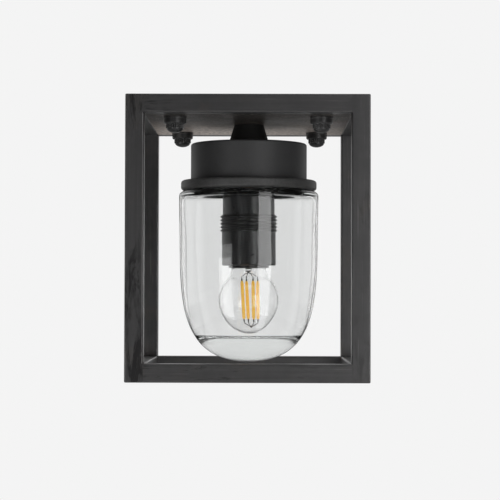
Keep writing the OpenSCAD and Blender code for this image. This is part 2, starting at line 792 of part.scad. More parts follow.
// a lead from a lampholder terminal up the nipple, bent over its top edge to the terminal block
module lead(sx) {
  lead_low = insert_top + 5.5;
  bar([sx * (terminal_x - 4.3), 0, insert_top + 1.35], [sx * lead_x, 0, lead_low], lead_d);
  translate([sx * lead_x, 0, lead_low]) sphere(d = lead_d * 1.1, $fn = 24);
  translate([sx * lead_x, 0, lead_low])
    cylinder(h = lead_z - bend_r - lead_low, d = lead_d, $fn = 24);
  translate([sx * lead_x, bend_r, lead_z - bend_r])
    rotate([90, 0, 90]) rotate([0, 0, 90])
      rotate_extrude(angle = 90, $fn = 48) translate([bend_r, 0]) circle(d = lead_d, $fn = 24);
  translate([sx * lead_x, bend_r, lead_z]) rotate([-90, 0, 0])
    cylinder(h = lead_run, d = lead_d, $fn = 24);
  translate([sx * lead_x, bend_r + lead_run, lead_z]) sphere(d = lead_d * 1.1, $fn = 24);
  bar([sx * lead_x, bend_r + lead_run, lead_z], [sx * block_pitch, lead_turn_y, lead_z], lead_d);
  translate([sx * block_pitch, lead_turn_y, lead_z]) sphere(d = lead_d * 1.1, $fn = 24);
  translate([sx * block_pitch, lead_turn_y, lead_z]) rotate([-90, 0, 0])
    cylinder(h = block_y - screw_row - lead_turn_y + 1, d = lead_d, $fn = 24);
}

module live_lead() {
  color("#7a4a2c") union() lead(1);
}
module neutral_lead() {
  color("#3a66a8") union() lead(-1);
}

// earth lead from the block's middle way to the screw on the top plate
module earth_lead() {
  color("#8aa83a")
  translate([0, block_y + screw_row - 1, lead_z]) rotate([-90, 0, 0])
    cylinder(h = earth_y - earth_screw_d - 0.15 - block_y - screw_row + 1, d = lead_d, $fn = 24);
}

module earth_screw() {
  color("#c8a24a")
  translate([0, earth_y, plate_top + earth_boss_h]) {
    difference() {
      cylinder(h = 2, r = earth_screw_d, $fn = 32);
      translate([-1.3 * earth_screw_d, -0.4, 1.2]) cube([2.6 * earth_screw_d, 0.8, 1]);
    }
    translate([0, 0, -0.63 * earth_boss_h]) cylinder(h = 0.63 * earth_boss_h + 0.1, d = earth_screw_d, $fn = 32);
  }
}

post(-1, -1);  // post_front_left
post(1, -1);  // post_front_right
post(-1, 1);  // post_rear_left
post(1, 1);  // post_rear_right
rail(0, -rail_y, top_z, 0, inner_w);  // top_rail_front
rail(0, rail_y, top_z, 0, inner_w);  // top_rail_rear
rail(-rail_x, 0, top_z, 90, inner_d);  // top_rail_left
rail(rail_x, 0, top_z, 90, inner_d);  // top_rail_right
rail(0, -rail_y, bottom_z, 0, inner_w);  // bottom_rail_front
rail(0, rail_y, bottom_z, 0, inner_w);  // bottom_rail_rear
rail(-rail_x, 0, bottom_z, 90, inner_d);  // bottom_rail_left
rail(rail_x, 0, bottom_z, 90, inner_d);  // bottom_rail_right
top_plate();
ceiling_bracket();
ceiling_studs();
nut_washers();
cap_nuts();
neck();
nipple();
lock_nuts();
housing();
glass_collar();
bridge_disc();
bridge_screws();
glass_seal();
glass_jar();
holder_cap();
holder_skirt();
holder_insert();
holder_shell();
centre_contact();
side_contact();
terminal_screws();
bulb_tip();
bulb_insulator();
bulb_base();
bulb_envelope();
bulb_stem();
support_wires();
filaments();
terminal_block();
block_screws();
live_lead();
neutral_lead();
earth_lead();
earth_screw();
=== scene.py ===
"""Looks of the porch ceiling lantern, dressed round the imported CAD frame.

The origin is the middle of the ceiling face, +Z points up and -Y is the front. Lengths are in metres.
Only the outlines of the jar and of the bulb are written in mm, and MM turns them into metres.
"""

import math

import bmesh
import bpy
from mathutils import Matrix, Vector, noise


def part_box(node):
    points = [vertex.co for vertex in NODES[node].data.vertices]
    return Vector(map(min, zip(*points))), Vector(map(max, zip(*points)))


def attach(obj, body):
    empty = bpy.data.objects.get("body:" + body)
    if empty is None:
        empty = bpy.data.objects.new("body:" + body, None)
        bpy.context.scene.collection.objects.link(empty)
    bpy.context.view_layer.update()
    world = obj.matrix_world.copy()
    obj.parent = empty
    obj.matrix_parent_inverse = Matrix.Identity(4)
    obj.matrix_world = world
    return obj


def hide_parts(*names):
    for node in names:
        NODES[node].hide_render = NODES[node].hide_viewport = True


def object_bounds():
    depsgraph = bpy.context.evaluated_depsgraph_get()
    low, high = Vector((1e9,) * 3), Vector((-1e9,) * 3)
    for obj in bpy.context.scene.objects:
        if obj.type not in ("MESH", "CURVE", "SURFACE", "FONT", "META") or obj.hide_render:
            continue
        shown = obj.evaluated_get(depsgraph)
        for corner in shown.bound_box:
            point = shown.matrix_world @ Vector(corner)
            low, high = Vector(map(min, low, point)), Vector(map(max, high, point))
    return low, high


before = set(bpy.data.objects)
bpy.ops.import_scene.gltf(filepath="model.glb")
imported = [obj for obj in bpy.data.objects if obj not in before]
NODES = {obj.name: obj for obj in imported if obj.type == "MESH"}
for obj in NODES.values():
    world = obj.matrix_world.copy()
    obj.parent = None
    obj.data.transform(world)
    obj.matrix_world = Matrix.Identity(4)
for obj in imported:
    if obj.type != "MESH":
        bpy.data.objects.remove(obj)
CAD_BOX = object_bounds()
MM = 0.001
TAU = 2 * math.pi

# --------------------------------------------------------------------------------------
# Camera, at the photograph's place
# --------------------------------------------------------------------------------------
CAMERA_AT = (0.0107, -1.2910, -0.1427)
CAMERA_YAW = 0.43
CAMERA_PITCH = 1.64
CAMERA_ROLL = 0.15
CAMERA_LENS = 125.35
CAMERA_SENSOR = 36

camera_data = bpy.data.cameras.new("camera")
camera_data.sensor_width = CAMERA_SENSOR
camera_data.lens = CAMERA_LENS
camera_data.clip_start = 0.05
camera_data.clip_end = 100
camera = bpy.data.objects.new("camera", camera_data)
camera.matrix_world = (
    Matrix.Translation(CAMERA_AT)
    @ Matrix.Rotation(math.radians(CAMERA_YAW), 4, "Z")
    @ Matrix.Rotation(math.radians(90 + CAMERA_PITCH), 4, "X")
    @ Matrix.Rotation(math.radians(CAMERA_ROLL), 4, "Z")
)
bpy.context.scene.collection.objects.link(camera)
bpy.context.scene.camera = camera


# --------------------------------------------------------------------------------------
# Node helpers
# --------------------------------------------------------------------------------------
EDGE_WEAR_AND_HIGHLIGHT_RADIUS = 0.0007


class Tree:
    """A material's node tree with short calls for the nodes used here."""

    def __init__(self, name):
        self.material = bpy.data.materials.new(name)
        self.material.use_nodes = True
        self.tree = self.material.node_tree
        self.nodes = self.tree.nodes
        self.shader = next(n for n in self.nodes if n.type == "BSDF_PRINCIPLED")
        self.coords = self.nodes.new("ShaderNodeTexCoord")

    def link(self, a, b):
        self.tree.links.new(a, b)

    def set(self, **values):
        """Sets sockets of the shader, named in small letters with underscores."""
        for key, value in values.items():
            socket = key.replace("_", " ").title().replace("Ior", "IOR")
            self.shader.inputs[socket].default_value = value

    def place(self):
        """The object coordinates as separate X, Y and Z outputs."""
        node = self.nodes.new("ShaderNodeSeparateXYZ")
        self.link(self.coords.outputs["Object"], node.inputs[0])
        return node.outputs

    def mapping(self, scale):
        node = self.nodes.new("ShaderNodeMapping")
        node.inputs["Scale"].default_value = scale
        self.link(self.coords.outputs["Object"], node.inputs["Vector"])
        return node.outputs["Vector"]

    def noise(self, scale, detail=3.0, rough=0.55, stretch=(1, 1, 1), distortion=0.0):
        node = self.nodes.new("ShaderNodeTexNoise")
        node.inputs["Scale"].default_value = scale
        node.inputs["Detail"].default_value = detail
        node.inputs["Roughness"].default_value = rough
        node.inputs["Distortion"].default_value = distortion
        self.link(self.mapping(stretch), node.inputs["Vector"])
        return node.outputs["Fac"]

    def ramp(self, source, stops):
        node = self.nodes.new("ShaderNodeValToRGB")
        elements = node.color_ramp.elements
        while len(elements) < len(stops):
            elements.new(0.5)
        for element, (place, value) in zip(elements, stops):
            element.position = place
            colour = value if isinstance(value, (tuple, list)) else (value,) * 3
            element.color = (*colour, 1)
        self.link(source, node.inputs["Fac"])
        return node.outputs["Color"]

    def math(self, operation, a, b):
        node = self.nodes.new("ShaderNodeMath")
        node.operation = operation
        for socket, value in zip(node.inputs, (a, b)):
            if isinstance(value, (int, float)):
                socket.default_value = value
            else:
                self.link(value, socket)
        return node.outputs[0]

    def mix(self, factor, a, b):
        node = self.nodes.new("ShaderNodeMix")
        node.data_type = "RGBA"
        sockets = [s for s in node.inputs if s.type == "RGBA"]
        for socket, value in ((node.inputs["Factor"], factor), (sockets[0], a), (sockets[1], b)):
            if isinstance(value, (int, float)):
                socket.default_value = value if socket.type == "VALUE" else (value,) * 3 + (1,)
            elif isinstance(value, (tuple, list)):
                socket.default_value = (*value, 1)
            else:
                self.link(value, socket)
        return next(s for s in node.outputs if s.type == "RGBA")

    def rounded(self, radius):
        """The normal of the surface with its edges rounded off."""
        node = self.nodes.new("ShaderNodeBevel")
        node.samples = 4
        node.inputs["Radius"].default_value = radius
        return node.outputs["Normal"]

    def edges(self):
        """White on edges, black on flats."""
        geometry = self.nodes.new("ShaderNodeNewGeometry")
        dot = self.nodes.new("ShaderNodeVectorMath")
        dot.operation = "DOT_PRODUCT"
        self.link(self.rounded(EDGE_WEAR_AND_HIGHLIGHT_RADIUS), dot.inputs[0])
        self.link(geometry.outputs["Normal"], dot.inputs[1])
        return self.ramp(self.math("SUBTRACT", 1.0, dot.outputs["Value"]), [(0.02, 0.0), (0.35, 1.0)])

    def bump(self, height, strength, distance, radius=None):
        node = self.nodes.new("ShaderNodeBump")
        node.inputs["Strength"].default_value = strength
        node.inputs["Distance"].default_value = distance
        self.link(height, node.inputs["Height"])
        if radius:
            self.link(self.rounded(radius), node.inputs["Normal"])
        self.link(node.outputs["Normal"], self.shader.inputs["Normal"])

    def colour(self, source):
        self.link(source, self.shader.inputs["Base Color"])

    def rough(self, source):
        self.link(source, self.shader.inputs["Roughness"])


# --------------------------------------------------------------------------------------
# Materials
# --------------------------------------------------------------------------------------
CORNER_BLOCK = 0.0135
FRONT_SKIN = 0.0006


def away_from_joints(t, along):
    """1 along a tube's free length and 0 in the ground corner blocks at its ends."""
    low, high = CAD_BOX[0][along], CAD_BOX[1][along]
    free = (high - low) / 2 - CORNER_BLOCK
    distance = t.math("ABSOLUTE", t.math("SUBTRACT", t.place()[along], (low + high) / 2), 0.0)
    return t.math("LESS_THAN", distance, free)


def rubbed_marks(t, along):
    """Dark smears where the wax was rubbed: mostly on the front faces, and more to the left."""
    place = t.place()
    smear = tuple(26 if axis == along else 150 for axis in range(3))
    marks = t.math(
        "MULTIPLY",
        t.ramp(t.noise(1, 5, 0.7, stretch=smear, distortion=0.6), [(0.50, 0.0), (0.60, 0.85)]),
        t.ramp(t.noise(17, 3, 0.6), [(0.46, 0.0), (0.56, 1.0)]),
    )
    front = t.math("LESS_THAN", place["Y"], CAD_BOX[0][1] + FRONT_SKIN)
    marks = t.math("MULTIPLY", marks, t.ramp(front, [(0.0, 0.25), (1.0, 1.0)]))
    right = t.ramp(place["X"], [(0.0, 0.0), (0.01, 1.0)])
    return t.math("MULTIPLY", marks, t.ramp(right, [(0.0, 1.0), (1.0, 0.35)]))


def cage_steel(name, along):
    """Blackened square tube, waxed, with drawing marks and scratches that run along the tube."""
    t = Tree(name)
    fine = tuple(14 if axis == along else 900 for axis in range(3))
    coarse = tuple(4 if axis == along else 160 for axis in range(3))
    patches = t.noise(22, 5, 0.6)
    brown = t.noise(35, 4, 0.55, distortion=0.4)
    streaks = t.noise(1, 4, 0.6, stretch=coarse)
    hair = t.noise(1, 3, 0.65, stretch=fine)
    grain = t.noise(1400, 2, 0.6)
    base = t.ramp(patches, [(0.30, (0.064, 0.0635, 0.065)), (0.72, (0.104, 0.102, 0.103))])
    base = t.mix(t.ramp(brown, [(0.55, 0.0), (0.78, 0.35)]), base, (0.128, 0.106, 0.090))
    base = t.mix(t.ramp(streaks, [(0.35, 0.0), (0.75, 0.45)]), base, (0.150, 0.148, 0.148))
    scratches = t.math(
        "MULTIPLY",
        t.ramp(hair, [(0.60, 0.0), (0.68, 1.0)]),
        t.ramp(patches, [(0.42, 0.05), (0.62, 0.7)]),
    )
    base = t.mix(scratches, base, (0.21, 0.207, 0.204))
    base = t.mix(rubbed_marks(t, along), base, (0.026, 0.025, 0.026))
    # Lighter edges: partly real wear, partly a painted highlight along the rounded edges.
    edge_wear_and_highlight = t.math("MULTIPLY", t.edges(), t.ramp(brown, [(0.3, 0.35), (0.65, 1.0)]))
    edge_wear_and_highlight = t.math("MULTIPLY", edge_wear_and_highlight, away_from_joints(t, along))
    base = t.mix(edge_wear_and_highlight, base, (0.20, 0.19, 0.18))
    t.colour(base)
    t.rough(t.ramp(t.mix(0.5, patches, hair), [(0.3, 0.50), (0.7, 0.34)]))
    t.set(metallic=0.85)
    t.bump(t.mix(0.45, hair, grain), 0.16, 0.00008)
    return t.material


def plate_steel():
    """Hot rolled plate, left bare and waxed: grainy and brownish, with painted shade at the front and to the
    right and a painted glow of light towards the rear.
    """
    t = Tree("plate_steel_look")
    place = t.place()
    cloud = t.noise(38, 5, 0.62, distortion=0.5)
    grain = t.noise(950, 3, 0.7)
    speck = t.noise(320, 4, 0.7)
    # Painted light and shade: the colour runs from near black at the front, painted shade, to a bright brown
    # at the rear, a painted glow of light.
    depth = t.math("ADD", t.math("MULTIPLY", place["Y"], 6.0), t.math("MULTIPLY", cloud, 0.45))
    base = t.ramp(
        depth,
        [(0.0, (0.035, 0.033, 0.032)), (0.22, (0.27, 0.228, 0.200)), (0.55, (0.95, 0.84, 0.76))],
    )
    shade = t.ramp(place["X"], [(0.0, 0.0), (0.075, 0.45)])
    base = t.mix(shade, base, (0.05, 0.044, 0.041))
    base = t.mix(t.ramp(speck, [(0.42, 0.0), (0.66, 0.7)]), base, (0.060, 0.050, 0.045))
    base = t.mix(t.ramp(grain, [(0.50, 0.0), (0.72, 0.6)]), base, (0.52, 0.47, 0.43))
    t.colour(base)
    t.rough(t.ramp(cloud, [(0.3, 0.42), (0.7, 0.60)]))
    t.set(metallic=0.8)
    t.bump(t.mix(0.5, grain, speck), 0.35, 0.00012)
    return t.material


def coated_metal(name, dark, light, rough, grain_scale, strength, edge):
    """Dark coated metal with a fine texture in the coat and lighter edges, partly wear and partly a painted
    highlight.
    """
    t = Tree(name)
    cloud = t.noise(30, 4, 0.6)
    grain = t.noise(grain_scale, 3, 0.6)
    base = t.ramp(cloud, [(0.3, dark), (0.7, light)])
    base = t.mix(t.ramp(grain, [(0.45, 0.0), (0.75, 0.35)]), base, tuple(1.7 * v for v in light))
    # Lighter edges: partly real wear, partly a painted highlight.
    edge_wear_and_highlight = t.math("MULTIPLY", t.edges(), t.ramp(t.noise(160, 3), [(0.4, 0.2), (0.65, 0.8)]))
    base = t.mix(edge_wear_and_highlight, base, (edge, edge, edge))
    t.colour(base)
    t.rough(t.ramp(cloud, [(0.3, rough), (0.7, rough + 0.08)]))
    t.bump(grain, strength, 0.0001, radius=0.0005)
    return t.material


def bright_metal(name, colour, rough, tarnish):
    """Bare or plated metal: turned marks, dull patches and small dark spots."""
    t = Tree(name)
    cloud = t.noise(90, 4, 0.6)
    spots = t.noise(600, 3, 0.7)
    base = t.mix(t.ramp(cloud, [(0.35, 0.0), (0.75, 0.7)]), colour, tarnish)
    base = t.mix(t.ramp(spots, [(0.62, 0.0), (0.74, 0.6)]), base, tuple(0.4 * v for v in tarnish))
    t.colour(base)
    t.rough(t.ramp(cloud, [(0.3, rough), (0.7, rough + 0.2)]))
    t.set(metallic=1.0)
    t.bump(t.mix(0.4, spots, t.noise(1, 2, stretch=(60, 60, 2500))), 0.15, 0.00006, radius=0.0003)
    return t.material


def moulded(name, colour, rough, texture_scale=1800.0, strength=0.1, vary=0.25):
    """Moulded plastic, rubber or fired clay with a slight mottle and a fine skin."""
    t = Tree(name)
    cloud = t.noise(60, 4, 0.6)
    skin = t.noise(texture_scale, 3, 0.6)
    low = tuple(v * (1 - vary) for v in colour)
    high = tuple(min(1.0, v * (1 + vary)) for v in colour)
    t.colour(t.mix(t.ramp(skin, [(0.5, 0.0), (0.8, 0.3)]), t.ramp(cloud, [(0.3, low), (0.7, high)]), high))
    t.rough(t.ramp(cloud, [(0.3, rough), (0.7, min(1.0, rough + 0.1))]))
    t.bump(skin, strength, 0.00008, radius=0.0004)
    return t.material


GLASS_IOR = 1.2
GLASS_DEPTHS = (0.905, 0.915, 0.910, 1)


def clear_glass(name, tint, gloss, ripple_scale, ripple, murk=0):
    """Clear glass with slight ripples from the mould. murk makes it a little grey where it is thick.

    It bends light less than real glass, so that the jar shows one dark line at its bottom as in the photo,
    and a coat gives back the gloss.
    """
    t = Tree(name)
    t.colour(t.ramp(t.noise(25, 3), [(0.3, tint), (0.7, tuple(min(1.0, v * 1.01) for v in tint))]))
    t.set(roughness=0.0, ior=GLASS_IOR, transmission_weight=1.0, coat_weight=gloss, coat_roughness=0.0)
    t.bump(t.noise(ripple_scale, 2, 0.45), ripple, 0.0006)
    if murk:
        volume = t.nodes.new("ShaderNodeVolumeAbsorption")
        volume.inputs["Color"].default_value = GLASS_DEPTHS
        volume.inputs["Density"].default_value = murk
        output = next(n for n in t.nodes if n.type == "OUTPUT_MATERIAL")
        t.link(volume.outputs["Volume"], output.inputs["Volume"])
    return t.material


def filament_coat():
    """Amber phosphor over the row of chips, a little lumpy, brighter where the coat is thin, with a painted
    amber glow though the bulb is off.
    """
    t = Tree("filament_look")
    lumps = t.noise(900, 3, 0.6)
    bands = t.noise(1, 2, 0.5, stretch=(200, 200, 700))
    amber = t.ramp(lumps, [(0.3, (0.88, 0.44, 0.02)), (0.7, (1.0, 0.60, 0.06))])
    t.colour(t.mix(t.ramp(bands, [(0.4, 0.0), (0.7, 0.6)]), amber, (1.0, 0.68, 0.14)))
    t.rough(t.ramp(lumps, [(0.3, 0.3), (0.7, 0.5)]))
    # Painted glow: the coat gives off a faint amber light.
    t.set(emission_color=(1.0, 0.60, 0.10, 1), emission_strength=0.50)
    t.set(subsurface_weight=0.15, subsurface_radius=(0.002, 0.001, 0.0004), subsurface_scale=0.5)
    t.bump(lumps, 0.25, 0.0001)
    return t.material


LOOKS = {
    "cage_x": cage_steel("cage_steel_x", 0),
    "cage_y": cage_steel("cage_steel_y", 1),
    "cage_z": cage_steel("cage_steel_z", 2),
    "plate": plate_steel(),
    "zinc": bright_metal("zinc_look", (0.62, 0.62, 0.60), 0.34, (0.40, 0.41, 0.41)),
    "nut": coated_metal("nut_look", (0.016,) * 3, (0.032,) * 3, 0.32, 1500, 0.15, 0.30),
    "housing": coated_metal("housing_look", (0.03, 0.03, 0.031), (0.04, 0.04, 0.041), 0.50, 2200, 0.22, 0.05),
    "neck": coated_metal("neck_look", (0.005,) * 3, (0.010,) * 3, 0.52, 1800, 0.2, 0.02),
    "collar": coated_metal("collar_look", (0.036,) * 3, (0.068, 0.068, 0.067), 0.50, 650, 0.6, 0.40),
    "brass": bright_metal("brass_look", (0.78, 0.58, 0.27), 0.26, (0.52, 0.36, 0.16)),
    "nickel": bright_metal("nickel_look", (0.72, 0.70, 0.66), 0.20, (0.50, 0.48, 0.44)),
    "wire": bright_metal("wire_look", (0.15, 0.14, 0.12), 0.45, (0.05, 0.045, 0.04)),
    "rubber": moulded("rubber_look", (0.028, 0.028, 0.028), 0.65),
    "bakelite": moulded("bakelite_look", (0.026, 0.026, 0.0265), 0.26, 900, 0.10),
    "ceramic": moulded("ceramic_look", (0.78, 0.75, 0.69), 0.45, vary=0.06),
    "vitrite": moulded("vitrite_look", (0.02, 0.02, 0.025), 0.12, vary=0.2),
    "block": moulded("block_look", (0.80, 0.78, 0.71), 0.42, vary=0.05),
    "brown": moulded("brown_wire_look", (0.20, 0.09, 0.04), 0.42, vary=0.15),
    "blue": moulded("blue_wire_look", (0.05, 0.15, 0.40), 0.42, vary=0.15),
    "green": moulded("green_wire_look", (0.28, 0.45, 0.05), 0.42, vary=0.15),
    "jar": clear_glass("jar_glass_look", (0.930, 0.934, 0.933), 0.7, 55, 0.004, murk=30),
    "bulb_glass": clear_glass("bulb_glass_look", (1.0, 1.0, 1.0), 0.6, 90, 0.02),
    "filament": filament_coat(),
}

NODE_LOOKS = {
    "cage_z": ["post_front_left", "post_front_right", "post_rear_left", "post_rear_right"],
    "cage_x": ["top_rail_front", "top_rail_rear", "bottom_rail_front", "bottom_rail_rear"],
    "cage_y": ["top_rail_left", "top_rail_right", "bottom_rail_left", "bottom_rail_right"],
    "plate": ["top_plate"],
    "zinc": ["ceiling_bracket", "ceiling_studs", "bridge_disc", "bridge_screws", "block_screws"],
    "nut": ["cap_nuts", "nut_washers"],
    "housing": ["housing"],
    "neck": ["neck"],
    "collar": ["glass_collar"],
    "brass": ["nipple", "lock_nuts", "centre_contact", "side_contact", "terminal_screws", "earth_screw"],
    "nickel": ["holder_shell", "bulb_base", "bulb_tip"],
    "rubber": ["glass_seal"],
    "bakelite": ["holder_cap", "holder_skirt"],
    "ceramic": ["holder_insert"],
    "vitrite": ["bulb_insulator"],
    "block": ["terminal_block"],
    "brown": ["live_lead"],
    "blue": ["neutral_lead"],
    "green": ["earth_lead"],
}


for look, names in NODE_LOOKS.items():
    for name in names:
        NODES[name].data.materials.clear()
        NODES[name].data.materials.append(LOOKS[look])


# --------------------------------------------------------------------------------------
# Mesh helpers
# --------------------------------------------------------------------------------------
def add_piece(name, mesh, look, body, slot, *nodes):
    """Puts a mesh into the scene, rides it on its body and lets it stand for CAD nodes."""
    obj = bpy.data.objects.new(name, mesh)
    bpy.context.scene.collection.objects.link(obj)
    for polygon in mesh.polygons:
        polygon.use_smooth = True
    mesh.materials.append(LOOKS[look])
    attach(obj, body)
    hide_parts(*nodes)


def finish_mesh(bm, name):
    """Turns the faces outwards and makes the mesh."""
    bmesh.ops.recalc_face_normals(bm, faces=bm.faces)
    mesh = bpy.data.meshes.new(name)
    bm.to_mesh(mesh)
    bm.free()
    return mesh


def in_metres(points):
    """A profile's points, turned from mm into metres."""
    return [(r * MM, z * MM) for r, z in points]


def spline(points, steps):
    """A smooth line through the points, with this many steps from each to the next."""
    line = []
    for i in range(len(points) - 1):
        p0 = points[max(i - 1, 0)]
        p1, p2 = points[i], points[i + 1]
        p3 = points[min(i + 2, len(points) - 1)]
        for k in range(steps):
            u = k / steps
            line.append(tuple(
                0.5 * (2 * p1[j] + (p2[j] - p0[j]) * u
                       + (2 * p0[j] - 5 * p1[j] + 4 * p2[j] - p3[j]) * u * u
                       + (3 * p1[j] - p0[j] - 3 * p2[j] + p3[j]) * u ** 3)
                for j in (0, 1)))
    line.append(points[-1])
    return line


def lathe(name, profile, segments, closed, shift=None):
    """Turns (radius, height) points round Z. A point on the axis becomes one vertex.

    shift(index, angle, height) is added to a vertex's radius.
    """
    bm = bmesh.new()
    rings = []
    for index, (radius, height) in enumerate(profile):
        if radius < 1e-7:
            rings.append([bm.verts.new((0, 0, height))])
            continue
        ring = []
        for s in range(segments):
            angle = TAU * s / segments
            r = radius + (shift(index, angle, height) if shift else 0)
            ring.append(bm.verts.new((r * math.cos(angle), r * math.sin(angle), height)))
        rings.append(ring)
    pairs = list(zip(rings, rings[1:]))
    if closed:
        pairs.append((rings[-1], rings[0]))
    for a, b in pairs:
        for s in range(segments):
            n = (s + 1) % segments
            if len(a) == 1 and len(b) == 1:
                break
            if len(a) == 1:
                bm.faces.new((a[0], b[n], b[s]))
            elif len(b) == 1:
                bm.faces.new((a[s], a[n], b[0]))
            else:
                bm.faces.new((a[s], a[n], b[n], b[s]))
    return finish_mesh(bm, name)


# --------------------------------------------------------------------------------------
# Jar, in mm: one clear body with its neck rib, rounded shoulder and thick bottom
# --------------------------------------------------------------------------------------
JAR_DEPTH = 126.0
JAR_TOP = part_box("glass_jar")[0][2] / MM + JAR_DEPTH
JAR_R = 51.8
JAR_TAPER = 0.024
JAR_POWERS = (5.44, 2.29)
SHOULDER = 4.0
NECK_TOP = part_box("glass_jar")[1][2] / MM
NECK_R = 36.85
BORE_R = 33.05
LIP = 0.8
LIP_MIDDLE = 0.25
NECK_FOOT = 0.4
RIB_H = 2.2
RIB_HALF = 1.35
RIB_PITCH = 5.0
RIB_TURNS = 1.5
RIB_START = JAR_TOP + 3.9
RIB_FADE = 1 / 14
WAVE = 0.36
WAVE_ROUND = 1.9
WAVE_UP = 0.040

# Points of the outline: the neck's lip, its straight side, its foot, then the shoulder and the body
LIP_POINTS = 6
NECK_ROWS = 46
FOOT_POINTS = 2
TOP_STEPS = 6
SHOULDER_STEPS = 10
BODY_STEPS = 90
WAVE_STEPS = 30

# The inside, as (depth under the jar's top face, radius)
INNER_WALL = [(12, 48.35), (34, 47.95), (50.8, 47.5), (66, 46.8), (80.8, 45.5), (90, 43.9)]
INNER_CORNER = [(97.6, 42.0), (105.6, 39.95), (106.3, 39.7), (106.7, 39.1)]
INNER_FLOOR = [(106.9, 37.8), (107.7, 33.0), (108.4, 25.5), (108.9, 17.5), (109.2, 9.0), (109.3, 0.0)]
THROAT = [(12.0, 48.35), (8.5, 48.4), (6.2, 48.3), (4.9, 47.8), (4.1, 46.7), (3.8, 45.0), (3.7, 41.0),
          (3.6, 36.5), (3.2, 34.6), (2.1, 33.5), (0.2, BORE_R), (-4.0, BORE_R)]


def jar_outer(t):
    """Outer radius at the share t of the jar's depth: a slight taper that rounds off into the bottom."""
    return JAR_R * (1 - JAR_TAPER * t) * (1 - t ** JAR_POWERS[0]) ** (1 / JAR_POWERS[1])


def jar_profile():
    """(radius, height) in mm from the neck's lip over the outside to the bottom, then up the inside."""
    high = NECK_TOP - LIP
    middle = NECK_TOP - LIP_MIDDLE
    points = [(BORE_R, high), (BORE_R + LIP_MIDDLE, middle), (BORE_R + LIP, NECK_TOP)]
    points += [(NECK_R - LIP, NECK_TOP), (NECK_R - LIP_MIDDLE, middle), (NECK_R, high)]
    low = JAR_TOP + NECK_FOOT
    points += [(NECK_R, high + (low - high) * i / NECK_ROWS) for i in range(1, NECK_ROWS + 1)]
    points += [(NECK_R + 0.3 * NECK_FOOT, JAR_TOP + 0.3 * NECK_FOOT), (NECK_R + NECK_FOOT, JAR_TOP)]
    flat = JAR_R - SHOULDER
    foot = NECK_R + NECK_FOOT
    points += [(foot + (flat - foot) * i / TOP_STEPS, JAR_TOP) for i in range(1, TOP_STEPS + 1)]
    for i in range(1, SHOULDER_STEPS + 1):
        angle = math.pi / 2 * (1 - i / SHOULDER_STEPS)
        points.append((flat + SHOULDER * math.cos(angle), JAR_TOP - SHOULDER + SHOULDER * math.sin(angle)))
    for i in range(1, BODY_STEPS + 1):
        t = 1 - (1 - SHOULDER / JAR_DEPTH) * (1 - i / BODY_STEPS) ** 2
        points.append((jar_outer(t) if i < BODY_STEPS else 0.0, JAR_TOP - t * JAR_DEPTH))
    inner = spline(INNER_WALL + INNER_CORNER + INNER_FLOOR, 8)
    points += [(r, JAR_TOP - d) for d, r in inner[::-1]]
    points += [(r, JAR_TOP - d) for d, r in spline(THROAT, 6)[1:]]
    return points


def rib_height(angle, z):
    """How far the climbing rib stands out of the neck at an angle and a height in mm."""
    height = 0.0
    for lap in (0, 1):
        along = angle / TAU + lap
        if along > RIB_TURNS:
            continue
        centre = RIB_START + RIB_PITCH * along
        ends = min(1.0, along / RIB_FADE, (RIB_TURNS - along) / RIB_FADE)
        height = max(height, ends * max(0.0, 1 - (abs(z - centre) / RIB_HALF) ** 3))
    return RIB_H * height


def jar_mesh():
    points = jar_profile()
    neck = range(LIP_POINTS, LIP_POINTS + NECK_ROWS + FOOT_POINTS)
    inner_start = [i for i, point in enumerate(points) if point[0] == 0.0][1]

    def shift(index, angle, height):
        """The climbing rib on the neck, and the slight waves of pressed glass inside."""
        z = height / MM
        if index in neck:
            return rib_height(angle, z) * MM
        if index > inner_start:
            spot = Vector((math.cos(angle) * WAVE_ROUND, math.sin(angle) * WAVE_ROUND, z * WAVE_UP))
            return noise.noise(spot) * WAVE * MM * min(1.0, (index - inner_start) / WAVE_STEPS)
        return 0.0

    return lathe("jar", in_metres(points), 192, True, shift)


add_piece("jar", jar_mesh(), "jar", "glass", "jar_glass", "glass_jar")

# --------------------------------------------------------------------------------------
# Bulb, in mm: thin envelope, stem, wires and filaments
# --------------------------------------------------------------------------------------
RIM_H = 1.6
SKIRT_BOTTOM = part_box("holder_skirt")[0][2] / MM + RIM_H
BULB_R = 22.5
BULB_CENTRE = SKIRT_BOTTOM - 25.4
BULB_WALL = 0.8
BULB_NECK_R = 13.0
BULB_TOP_R = 11.65
SHELL_BOTTOM = SKIRT_BOTTOM + 3
STEM_BOTTOM = SKIRT_BOTTOM - 4.6
BALL_FROM = 50
BALL_STEPS = 56
FIL_COUNT = 4
FIL_TOP = STEM_BOTTOM - 5.3
FIL_LENGTH = 30.3
FIL_R = 1.25
FIL_STEPS = 30
WIRE_R = 0.24

# Upper and lower end of the filaments: radius of their ring, its first angle and its middle's place in X
FIL_SPREAD = (6.5, 5.4)
FIL_ANGLE = (23, 21)
FIL_SHIFT = (1, 2)


def bulb_line(inset):
    """The envelope's outline in mm, from inside the base to the lowest point."""
    ball = BULB_R - inset
    key = [(BULB_TOP_R - inset, SHELL_BOTTOM + 6), (BULB_TOP_R - inset, SHELL_BOTTOM - 0.3),
           (BULB_NECK_R - inset, SKIRT_BOTTOM - RIM_H - 1.2)]
    start = math.radians(BALL_FROM)
    first = (ball * math.cos(start), BULB_CENTRE + ball * math.sin(start))
    line = [key[0]] + spline([key[1], key[2], first], 10)
    for i in range(1, BALL_STEPS + 1):
        angle = math.radians(BALL_FROM - (90 + BALL_FROM) * i / BALL_STEPS)
        line.append((ball * math.cos(angle) if i < BALL_STEPS else 0.0, BULB_CENTRE + ball * math.sin(angle)))
    return line


envelope = in_metres(bulb_line(0) + bulb_line(BULB_WALL)[::-1])
add_piece("bulb_envelope_glass", lathe("bulb_envelope_glass", envelope, 128, True),
          "bulb_glass", "bulb", "bulb_glass", "bulb_envelope")

